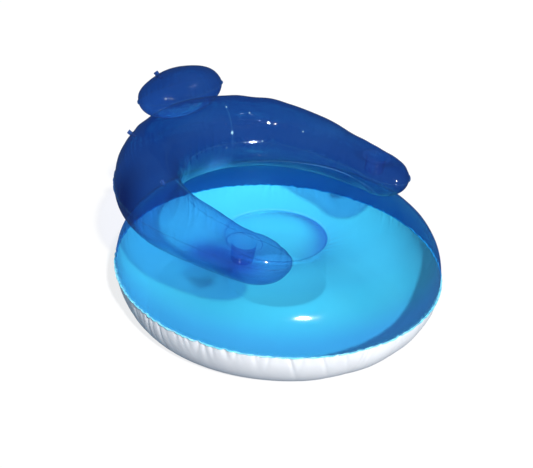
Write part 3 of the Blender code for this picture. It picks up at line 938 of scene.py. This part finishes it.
def tubeOutward(shares):
    tangent = tubeTangent(shares)
    out = np.stack([tangent[..., 1], -tangent[..., 0], 0 * tangent[..., 0]], -1)
    facing = np.sign((out * tubePath(shares)).sum(-1, keepdims=True))
    return out * facing


def tipShare():
    return tube["tipLength"] / (tube["pathRadii"][3] * tube["sweep"])


def seamLevel(shares):
    return tube["underside"] + along(shares, tube["heights"]) / 2 + along(shares, tube["seamLifts"])


def tubeRows():
    # shares from one tip to the other, closer together towards the tips
    body = np.linspace(-(1 - tipShare()), 1 - tipShare(), tube["bodyRows"])
    turns = np.linspace(0, pi / 2, tube["tipRows"])[1:]
    tip = (1 - tipShare()) + tipShare() * np.sin(turns)
    return np.concatenate([-tip[::-1], body, tip])


def cupPad(side):
    # centre, normal and forward way of the flat pad round the cup, on the +X arm for side 1
    centre = np.array(cup["centre"])
    forward = tubeTangent(np.array(cup["share"]))
    normal = lifted + forward * tan(cup["lean"])
    normal /= np.linalg.norm(normal)
    mirror = np.array([side, 1.0, 1.0])
    return centre * mirror, normal * mirror, forward * mirror


saddleHeight = tube["underside"] + tube["heights"][0] / 2 * (1 + sin(tube["saddleTurn"]))


def tubeTurns():
    # closer together near both seams
    share = np.linspace(0, 1, tube["columns"])
    return pi * (share - 0.09 * np.sin(2 * pi * share))


def tubeSheetPoints(side):
    shares = tubeRows()[:, None]
    turns = tubeTurns()[None, :]
    closeness = np.minimum((1 - np.abs(shares)) / tipShare(), 1)
    scale = np.sqrt(np.maximum(1 - (1 - closeness) ** 2, 0))
    rise = along(shares, tube["heights"]) / 2 - side * along(shares, tube["seamLifts"])
    rise = rise * scale * np.sin(turns)
    wide = (along(shares, tube["halfWidths"]) - 0.8 * slimming(shares)) * scale * np.cos(turns)
    points = tubePath(shares) + tubeOutward(shares) * wide[..., None]
    if side > 0:
        level = smoothMin(seamLevel(shares) + rise, saddleHeight + 0 * rise, tube["saddleSoft"])
        for arm in (-1, 1):
            centre, normal, forward = cupPad(arm)
            plane = centre[2] - tan(cup["lean"]) * ((points[..., :2] - centre[:2]) @ forward[:2])
            apart = np.linalg.norm(points[..., :2] - centre[:2], axis=-1)
            nearCup = 1 - smoothStep(cup["padFlat"], cup["padBlend"], apart)
            level = level + nearCup * (smoothMin(level, plane, cup["padSoft"]) - level)
    else:
        drop = rise / sin(tube["footTurn"])
        level = -smoothMin(-(seamLevel(shares) - drop), -tube["underside"] + 0 * drop, tube["footSoft"])
    points[..., 2] = level
    return points


def tubeSeam():
    # both edges of the panels as one closed path, with their lengths and level outward way
    points = tubeSheetPoints(1)
    outer, inner = points[:, 0].copy(), points[:, -1].copy()
    outer[:, 2] = inner[:, 2] = seamLevel(tubeRows())
    path = np.concatenate([outer, inner[-2:0:-1]])
    return (path, *closedLengths(path), pathOutward(path), len(outer))


seamPath, seamArc, seamLength, seamOut, outerCount = tubeSeam()
tubeCreases = seamCreases(seamLength, tube, 23)
for crease in tubeCreases:  # the inner side of the bend gathers more film than the outer side
    onInner = crease["place"] > seamArc[outerCount - 1]
    crease["depth"] *= 1.25 if onInner else 0.7
    crease["reach"] *= 1.5 if onInner else 0.8
seamDrawn, seamLift = seamScallops(seamArc, tubeCreases, seamLength, tube)


def edgeValues(values, rows):
    # values along the closed seam, as the outer and the inner edge of a panel see them
    outer = values[:rows]
    inner = np.concatenate([values[:1], values[rows:][::-1], values[rows - 1:rows]])
    return outer, inner


def tubeCentreLine():
    shares = tubeRows()
    centre = tubePath(shares)
    centre[:, 2] = seamLevel(shares)
    return centre


def gatheredTube(points, lowerPanel):
    # draws the creases, swells and scallops into a panel of the tube
    rows = points.shape[0]
    steps = np.linalg.norm(np.diff(points, axis=1), axis=-1)
    awayOuter = np.concatenate([np.zeros((rows, 1)), np.cumsum(steps, axis=1)], axis=1)
    awayInner = awayOuter[:, -1:] - awayOuter
    normals = gridNormals(points, False)
    normals *= np.sign((normals * (points - tubeCentreLine()[:, None])).sum(-1).mean())
    sunk = np.zeros(points.shape[:2])
    arcs, drawn, lifts, outs = [edgeValues(v, rows) for v in (seamArc, seamDrawn, seamLift, seamOut)]
    for arc, away in zip(arcs, (awayOuter, awayInner)):
        sunk += creaseDepth(arc[:, None], away, tubeCreases, seamLength)
    calm = smoothStep(0.0, tube["swellFade"], awayOuter) * smoothStep(0.0, tube["swellFade"], awayInner)
    if lowerPanel:
        above = points[..., 2] - tube["underside"]
        calm = calm * smoothStep(0.0, tube["swellFade"], above)
        sunk = sunk * smoothStep(0.0, 0.012, above)
    else:
        calm = calm * smoothStep(0.0, 0.02, saddleHeight - points[..., 2])
        for arm in (-1, 1):
            apart = np.linalg.norm(points - cupPad(arm)[0], axis=-1)
            calm = calm * smoothStep(*cup["padSwells"], apart)
            sunk = sunk * smoothStep(*cup["padCreases"], apart)
    sunk = sunk + tube["swell"] * calm * softWaves(points, tube["swellLengths"], 41 + lowerPanel)
    sunk = sunk * smoothStep(0, 0.012, 1 - np.abs(tubeRows()))[:, None]
    moved = points + sunk[..., None] * normals
    for away, pull, out, lift in zip((awayOuter, awayInner), drawn, outs, lifts):
        moved += seamPull(away, pull[:, None], out[:, None], lift[:, None], tube)
    if lowerPanel:
        moved[..., 2] = np.maximum(moved[..., 2], tube["underside"])
    else:
        moved[..., 2] = np.minimum(moved[..., 2], saddleHeight)
    for k in (0, -1):
        moved[k] = moved[k].mean(0)
    return moved


def makeTube():
    upper = seatValve(gatheredTube(tubeSheetPoints(1), False), "backrest")
    mesh = sheetMesh("backrest_upper", upper, 1, poles=(True, True))
    for arm in (-1, 1):
        centre, normal = cupPad(arm)[:2]
        openHole(mesh, Vector(centre), Vector(normal), cup["bore"] + cup["lip"] - cup["weld"], 96)
    openValve(mesh, "backrest")
    addPiece("backrest_upper", mesh, tubeFilm, ["backrest_upper_panel"])
    lower = gatheredTube(tubeSheetPoints(-1), True)
    mesh = sheetMesh("backrest_lower", lower, -1, poles=(True, True))
    addPiece("backrest_lower", mesh, tubeFootFilm, ["backrest_lower_panel"])
    path = seamPath + seamDrawn[:, None] * seamOut + seamLift[:, None] * lifted
    mesh = weldMesh("backrest_weld", path, seamOut, lifted, tube, 29)
    addPiece("backrest_weld", mesh, tubeWeld)


makeTube()
print("backrest tube made")


def turnFrame(origin, axis):
    zAxis = Vector(axis).normalized()
    xAxis = Vector((0, 0, 1)).cross(zAxis).normalized()
    made = Matrix((xAxis, zAxis.cross(xAxis), zAxis)).transposed().to_4x4()
    made.translation = Vector(origin)
    return made


def arcPoints(centre, radius, start, finish, steps):
    turns = np.linspace(start, finish, steps + 1)
    return [(centre[0] + radius * cos(t), centre[1] + radius * sin(t)) for t in turns]


def cupProfile():
    # the inner face of the thin moulded cup, from the middle of its floor out to the lip
    lean = atan2(cup["bore"] - cup["floor"], cup["depth"])
    profile = [(0, -cup["depth"] + 0.0012), (0.012, -cup["depth"] + 0.0011), (0.024, -cup["depth"] + 0.0004)]
    floorTurn = (cup["floor"] - cup["round"], cup["round"] - cup["depth"])
    profile += arcPoints(floorTurn, cup["round"], -pi / 2, -lean, 8)
    half = cup["round"] / 2
    low, high = np.array(profile[-1]), np.array((cup["bore"], cup["wall"] - half))
    profile += [tuple(low + (high - low) * k / 6) for k in range(1, 6)]
    profile += arcPoints((cup["bore"] + half, cup["wall"] - half), half, pi, pi / 2, 6)
    lipOuter = cup["bore"] + cup["lip"]
    return profile + [(lipOuter - cup["weld"] * 1.5, cup["wall"]), (lipOuter, 0.0002)]


def makeCups():
    for name, arm in (("left_cup", 1), ("right_cup", -1)):
        centre, normal = cupPad(arm)[:2]
        axes = turnFrame(Vector(centre) + Vector(normal) * 0.0003, normal)
        mesh = turnedMesh(name, cupProfile(), 96, axes)
        addPiece(name, mesh, cupFilm, [name + "_holder"])


makeCups()
print("cup holders made")


# Pillow on the tube's flat saddle

pillow = {
    "halfLength": 0.174,
    "halfDepth": 0.105,
    "halfHeight": 0.080,
    "sink": 0.020,
    "lean": radians(11),
    "setBack": 0.013,
    "planShare": 2.3,
    "domeShare": 2.2,
    "columns": 460,
    "rings": 44,
    "pitch": 0.027,
    "depth": 0.0024,
    "reach": 0.024,
    "width": 0.0042,
    "drawIn": 0.0018,
    "lift": 0.0015,
    "fadeIn": 0.013,
    "hem": 0.0045,
    "thickness": 0.0010,
    "flutter": 0.0015,
    "swell": 0.0011,
    "swellLengths": (0.09, 0.15),
    "swellFade": 0.025,
    "footSoft": 0.004,
    "footGap": 0.0004,
}
pillowTurns = roundWays(pillow["columns"])[0]
pillowHeight = saddleHeight + pillow["halfHeight"] - pillow["sink"]
pillowY = tube["pathRadii"][0] - pillow["setBack"]


def signedPower(value, power):
    return np.abs(value) ** power * np.sign(value)


def pillowPlan(shares):
    x = pillow["halfLength"] * shares * signedPower(np.cos(pillowTurns), 2 / pillow["planShare"])
    y = pillow["halfDepth"] * shares * signedPower(np.sin(pillowTurns), 2 / pillow["planShare"])
    return np.stack([x, y, 0 * x], -1)


pillowEdge = pillowPlan(1.0)
pillowArc, pillowLength = closedLengths(pillowEdge)
pillowOut = pathOutward(pillowEdge)
pillowCreases = seamCreases(pillowLength, pillow, 37)
pillowDrawn, pillowLift = seamScallops(pillowArc, pillowCreases, pillowLength, pillow)


def leaned(points):
    c, s = cos(-pillow["lean"]), sin(-pillow["lean"])
    x, y, z = np.moveaxis(points, -1, 0)
    return np.stack([x, y * c - z * s, y * s + z * c], -1) + np.array([0, pillowY, pillowHeight])


def pillowSheetPoints(side):
    turn = np.linspace(0, pi / 2, pillow["rings"])
    shares = np.sin(turn) ** (2 / pillow["domeShare"])
    points = pillowPlan(shares[:, None])
    points[..., 2] = side * pillow["halfHeight"] * np.cos(turn)[:, None]
    steps = np.linalg.norm(np.diff(points, axis=0), axis=-1)
    away = np.concatenate([np.cumsum(steps[::-1], axis=0)[::-1], np.zeros((1, steps.shape[1]))])
    normals = gridNormals(points, True)
    normals[0] = side * lifted
    normals *= np.sign((normals * (points + side * 0.001 * lifted)).sum(-1, keepdims=True) + 1e-12)
    sunk = creaseDepth(pillowArc, away, pillowCreases, pillowLength)
    calm = smoothStep(0.0, pillow["swellFade"], away)
    sunk = sunk + pillow["swell"] * calm * softWaves(points, pillow["swellLengths"], 53 + side)
    sunk[0] = sunk[0].mean()
    points = points + sunk[..., None] * normals
    return leaned(points + seamPull(away, pillowDrawn, pillowOut, pillowLift, pillow))


def makePillow():
    upper = seatValve(pillowSheetPoints(1), "pillow")
    mesh = sheetMesh("pillow_upper", upper, 1, closed=True)
    openValve(mesh, "pillow")
    made = addPiece("pillow_upper", mesh, tubeFilm, ["pillow_upper_panel"])
    lower = pillowSheetPoints(-1)
    rest = saddleHeight + pillow["footGap"]
    flattened = -smoothMin(-lower[..., 2], -rest + 0 * lower[..., 2], pillow["footSoft"])
    lower[..., 2] = np.maximum(flattened, rest)
    mesh = sheetMesh("pillow_lower", lower, -1, closed=True)
    made = addPiece("pillow_lower", mesh, pillowUnderFilm, ["pillow_lower_panel"])
    path = pillowEdge + pillowDrawn[:, None] * pillowOut + pillowLift[:, None] * lifted
    tilt = np.array(Matrix.Rotation(-pillow["lean"], 3, "X"))
    mesh = weldMesh("pillow_weld", leaned(path), pillowOut @ tilt.T, tilt @ lifted, pillow, 43)
    addPiece("pillow_weld", mesh, tubeWeld)


makePillow()
print("pillow made")


# The valves keep their CAD solids and get finer materials

for chamber in ("base", "backrest", "pillow"):
    for part in ("body", "plug", "flap"):
        mesh = frame["nodes"][chamber + "_valve_" + part].data
        mesh.materials.clear()
        mesh.materials.append(clearVinyl if chamber == "base" else deepVinyl)
print("valves dressed")


# Floor and light

studio = {
    "keyAzimuth": radians(-36.5),
    "keyElevation": radians(39.2),
    "keyStrength": 4.3,
    "keyAngle": radians(2.5),
    "lampColour": (1.0, 0.985, 0.96),
    "sky": (0.235, 0.255, 0.295),
    "skyGloss": (0.055, 0.10, 0.16),
    "floor": (0.96, 0.96, 0.965),
    "floorBounce": (0.27, 0.30, 0.35),
    "shadowShare": 0.22,
    "behindFilm": (0.0125, 0.073, 0.285),
    "fillAzimuth": radians(20),
    "fillElevation": radians(10),
    "fillStrength": 0.92,
    "fillAngle": radians(40),
    "floorHalf": 14.0,
}


def lightPath(tree):
    # the path's outputs, and 1 for what the camera sees through film, else 0
    path = addNode(tree, "ShaderNodeLightPath").outputs
    deep = compute(tree, "GREATER_THAN", path["Transparent Depth"], 0.5)
    return path, compute(tree, "MULTIPLY", path["Is Camera Ray"], deep)


def makeWorld():
    world = bpy.data.worlds.new("studio")
    bpy.context.scene.world = world
    tree = newTree(world)
    path, behind = lightPath(tree)
    colour = mixColour(tree, path["Is Camera Ray"], studio["sky"], (1.0, 1.0, 1.0))
    colour = mixColour(tree, path["Is Glossy Ray"], colour, studio["skyGloss"])
    colour = mixColour(tree, behind, colour, studio["behindFilm"])
    shine = addNode(tree, "ShaderNodeBackground", {"Color": colour}).outputs[0]
    addNode(tree, "ShaderNodeOutputWorld", {"Surface": shine})


def makeFloor():
    material = bpy.data.materials.new("studioFloor")
    tree = newTree(material)
    path, behind = lightPath(tree)
    pale = addNode(tree, "ShaderNodeBsdfDiffuse", {"Color": (*studio["floor"], 1)}).outputs[0]
    lit = addNode(tree, "ShaderNodeEmission", {"Color": (1, 1, 1, 1)}).outputs[0]
    seen = mixShaders(tree, studio["shadowShare"], lit, pale)
    shade = mixColour(tree, path["Is Glossy Ray"], studio["floorBounce"], studio["skyGloss"])
    shade = mixColour(tree, behind, shade, studio["behindFilm"])
    dark = addNode(tree, "ShaderNodeEmission", {"Color": shade}).outputs[0]
    front = compute(tree, "SUBTRACT", path["Is Camera Ray"], behind)
    share = compute(tree, "SUBTRACT", 1.0, front)
    addNode(tree, "ShaderNodeOutputMaterial", {"Surface": mixShaders(tree, share, seen, dark)})
    half = studio["floorHalf"]
    corners = [(-half, -half, 0), (half, -half, 0), (half, half, 0), (-half, half, 0)]
    mesh = bpy.data.meshes.new("floor")
    mesh.from_pydata(corners, [], [(0, 1, 2, 3)])
    mesh.materials.append(material)
    floor = addObject("floor", mesh)
    floor.location.z = -0.0005


def addLamp(name):
    lamp = bpy.data.lights.new(name, "SUN")
    lamp.energy = studio[name + "Strength"]
    lamp.angle = studio[name + "Angle"]
    lamp.color = studio["lampColour"]
    made = addObject(name, lamp)
    made.rotation_mode = "QUATERNION"
    way = towards(studio[name + "Azimuth"], studio[name + "Elevation"])
    made.rotation_quaternion = way.to_track_quat("Z", "Y")
    return made


makeWorld()
makeFloor()
addLamp("key")
addLamp("fill").visible_glossy = False
scene = bpy.context.scene
scene.view_settings.view_transform = "Standard"
scene.cycles.transparent_max_bounces = 48
scene.cycles.max_bounces = 10
scene.cycles.use_denoising = True
print("studio made")
